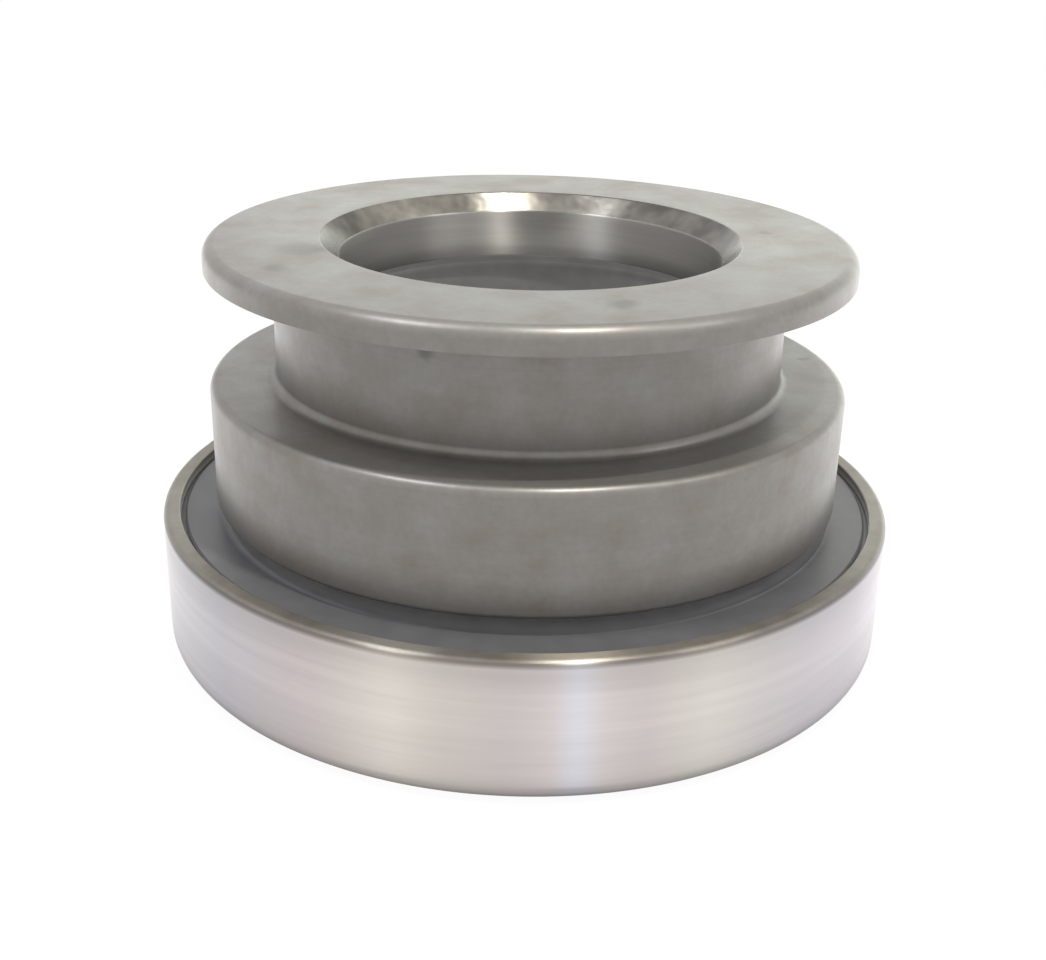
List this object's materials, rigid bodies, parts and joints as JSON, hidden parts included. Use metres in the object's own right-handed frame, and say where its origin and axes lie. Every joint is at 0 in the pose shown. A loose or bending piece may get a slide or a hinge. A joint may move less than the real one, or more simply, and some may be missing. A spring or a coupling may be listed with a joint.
{
  "type": "clutch release bearing",
  "caption": "Clutch release bearing: a turned collar with a flange and a fork groove, carrying a sealed ball bearing whose outer ring turns and is the thrust face.",
  "frame": {"origin": "centre of the thrust face, on the bore's axis, at the object's base", "axes": "+Z along the bore, from the thrust face to the flange; X and Y across, the part is round"},
  "size_m": [0.069, 0.069, 0.0378],
  "materials": {
    "machined_iron": "satin machined",
    "ground_steel": "ground, fine grinding marks round the ring",
    "bearing_steel": "ground",
    "ball_steel": "polished",
    "cage_polymer": "moulded",
    "seal_rubber": "matt"
  },
  "bodies": {
    "collar": {"collar": "machined_iron", "inner_ring": "bearing_steel"},
    "outer_ring": {"outer_ring": "ground_steel", "upper_seal": "seal_rubber", "lower_seal": "seal_rubber"},
    "ball_cage": {"ball_cage": "cage_polymer"},
    "ball_01": {"ball_01": "ball_steel"},
    "ball_02": {"ball_02": "ball_steel"},
    "ball_03": {"ball_03": "ball_steel"},
    "ball_04": {"ball_04": "ball_steel"},
    "ball_05": {"ball_05": "ball_steel"},
    "ball_06": {"ball_06": "ball_steel"},
    "ball_07": {"ball_07": "ball_steel"},
    "ball_08": {"ball_08": "ball_steel"},
    "ball_09": {"ball_09": "ball_steel"},
    "ball_10": {"ball_10": "ball_steel"},
    "ball_11": {"ball_11": "ball_steel"},
    "ball_12": {"ball_12": "ball_steel"},
    "ball_13": {"ball_13": "ball_steel"},
    "ball_14": {"ball_14": "ball_steel"},
    "ball_15": {"ball_15": "ball_steel"},
    "ball_16": {"ball_16": "ball_steel"}
  },
  "joints": [
    {"name": "ring_spin", "type": "hinge", "parent": "collar", "child": "outer_ring", "pos_m": [0, 0, 0.00617], "axis": [0, 0, 1], "continuous": true},
    {"name": "cage_orbit", "type": "hinge", "parent": "collar", "child": "ball_cage", "pos_m": [0, 0, 0.00617], "axis": [0, 0, 1], "continuous": true},
    {"name": "ball_01_spin", "type": "hinge", "parent": "ball_cage", "child": "ball_01", "pos_m": [0.02697, 0, 0.00617], "axis": [0.6428, 0, 0.766], "continuous": true},
    {"name": "ball_02_spin", "type": "hinge", "parent": "ball_cage", "child": "ball_02", "pos_m": [0.02492, 0.01032, 0.00617], "axis": [0.5939, 0.246, 0.766], "continuous": true},
    {"name": "ball_03_spin", "type": "hinge", "parent": "ball_cage", "child": "ball_03", "pos_m": [0.01907, 0.01907, 0.00617], "axis": [0.4545, 0.4545, 0.766], "continuous": true},
    {"name": "ball_04_spin", "type": "hinge", "parent": "ball_cage", "child": "ball_04", "pos_m": [0.01032, 0.02492, 0.00617], "axis": [0.246, 0.5939, 0.766], "continuous": true},
    {"name": "ball_05_spin", "type": "hinge", "parent": "ball_cage", "child": "ball_05", "pos_m": [0, 0.02697, 0.00617], "axis": [0, 0.6428, 0.766], "continuous": true},
    {"name": "ball_06_spin", "type": "hinge", "parent": "ball_cage", "child": "ball_06", "pos_m": [-0.01032, 0.02492, 0.00617], "axis": [-0.246, 0.5939, 0.766], "continuous": true},
    {"name": "ball_07_spin", "type": "hinge", "parent": "ball_cage", "child": "ball_07", "pos_m": [-0.01907, 0.01907, 0.00617], "axis": [-0.4545, 0.4545, 0.766], "continuous": true},
    {"name": "ball_08_spin", "type": "hinge", "parent": "ball_cage", "child": "ball_08", "pos_m": [-0.02492, 0.01032, 0.00617], "axis": [-0.5939, 0.246, 0.766], "continuous": true},
    {"name": "ball_09_spin", "type": "hinge", "parent": "ball_cage", "child": "ball_09", "pos_m": [-0.02697, 0, 0.00617], "axis": [-0.6428, 0, 0.766], "continuous": true},
    {"name": "ball_10_spin", "type": "hinge", "parent": "ball_cage", "child": "ball_10", "pos_m": [-0.02492, -0.01032, 0.00617], "axis": [-0.5939, -0.246, 0.766], "continuous": true},
    {"name": "ball_11_spin", "type": "hinge", "parent": "ball_cage", "child": "ball_11", "pos_m": [-0.01907, -0.01907, 0.00617], "axis": [-0.4545, -0.4545, 0.766], "continuous": true},
    {"name": "ball_12_spin", "type": "hinge", "parent": "ball_cage", "child": "ball_12", "pos_m": [-0.01032, -0.02492, 0.00617], "axis": [-0.246, -0.5939, 0.766], "continuous": true},
    {"name": "ball_13_spin", "type": "hinge", "parent": "ball_cage", "child": "ball_13", "pos_m": [0, -0.02697, 0.00617], "axis": [0, -0.6428, 0.766], "continuous": true},
    {"name": "ball_14_spin", "type": "hinge", "parent": "ball_cage", "child": "ball_14", "pos_m": [0.01032, -0.02492, 0.00617], "axis": [0.246, -0.5939, 0.766], "continuous": true},
    {"name": "ball_15_spin", "type": "hinge", "parent": "ball_cage", "child": "ball_15", "pos_m": [0.01907, -0.01907, 0.00617], "axis": [0.4545, -0.4545, 0.766], "continuous": true},
    {"name": "ball_16_spin", "type": "hinge", "parent": "ball_cage", "child": "ball_16", "pos_m": [0.02492, -0.01032, 0.00617], "axis": [0.5939, -0.246, 0.766], "continuous": true}
  ],
  "couplings": [
    {"joint": "cage_orbit", "follows": "ring_spin", "ratio": 0.55073},
    {"joint": "ball_01_spin", "follows": "ring_spin", "ratio": 3.7366},
    {"joint": "ball_02_spin", "follows": "ring_spin", "ratio": 3.7366},
    {"joint": "ball_03_spin", "follows": "ring_spin", "ratio": 3.7366},
    {"joint": "ball_04_spin", "follows": "ring_spin", "ratio": 3.7366},
    {"joint": "ball_05_spin", "follows": "ring_spin", "ratio": 3.7366},
    {"joint": "ball_06_spin", "follows": "ring_spin", "ratio": 3.7366},
    {"joint": "ball_07_spin", "follows": "ring_spin", "ratio": 3.7366},
    {"joint": "ball_08_spin", "follows": "ring_spin", "ratio": 3.7366},
    {"joint": "ball_09_spin", "follows": "ring_spin", "ratio": 3.7366},
    {"joint": "ball_10_spin", "follows": "ring_spin", "ratio": 3.7366},
    {"joint": "ball_11_spin", "follows": "ring_spin", "ratio": 3.7366},
    {"joint": "ball_12_spin", "follows": "ring_spin", "ratio": 3.7366},
    {"joint": "ball_13_spin", "follows": "ring_spin", "ratio": 3.7366},
    {"joint": "ball_14_spin", "follows": "ring_spin", "ratio": 3.7366},
    {"joint": "ball_15_spin", "follows": "ring_spin", "ratio": 3.7366},
    {"joint": "ball_16_spin", "follows": "ring_spin", "ratio": 3.7366}
  ]
}
